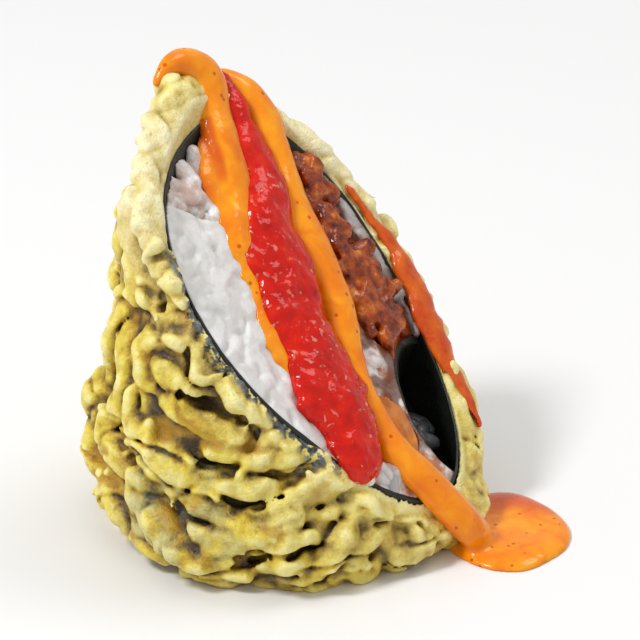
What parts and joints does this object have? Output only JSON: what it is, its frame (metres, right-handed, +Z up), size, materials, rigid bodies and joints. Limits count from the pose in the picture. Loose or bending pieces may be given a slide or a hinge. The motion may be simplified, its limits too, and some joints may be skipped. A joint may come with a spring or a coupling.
{
  "type": "fried sushi roll",
  "caption": "Piece of a battered, deep-fried sushi roll cut on a steep slant, with rice, chopped filling and orange and red sauces on the cut face.",
  "frame": {"origin": "on the roll's axis, at the level that the piece stands on", "axes": "+Z up along the roll's axis, +X the way the slanting cut face looks, +Y across the cut face"},
  "size_m": [0.0543, 0.0461, 0.0539],
  "materials": {
    "fried_batter": "crisp matt fried batter, pale yellow with olive hollows",
    "nori_sheet": "black seaweed sheet, slight sheen",
    "sushi_rice": "moist white cooked rice",
    "chopped_filling": "glazed brown-orange chopped filling",
    "filling_strip": "moist salmon-orange strip",
    "orange_sauce": "thick glossy orange sauce",
    "red_sauce": "glossy grainy red chilli sauce"
  },
  "bodies": {
    "root": {"batter": "fried_batter", "nori": "nori_sheet", "rice": "sushi_rice", "filling_chopped": "chopped_filling", "filling_strip": "filling_strip"}
  },
  "joints": []
}
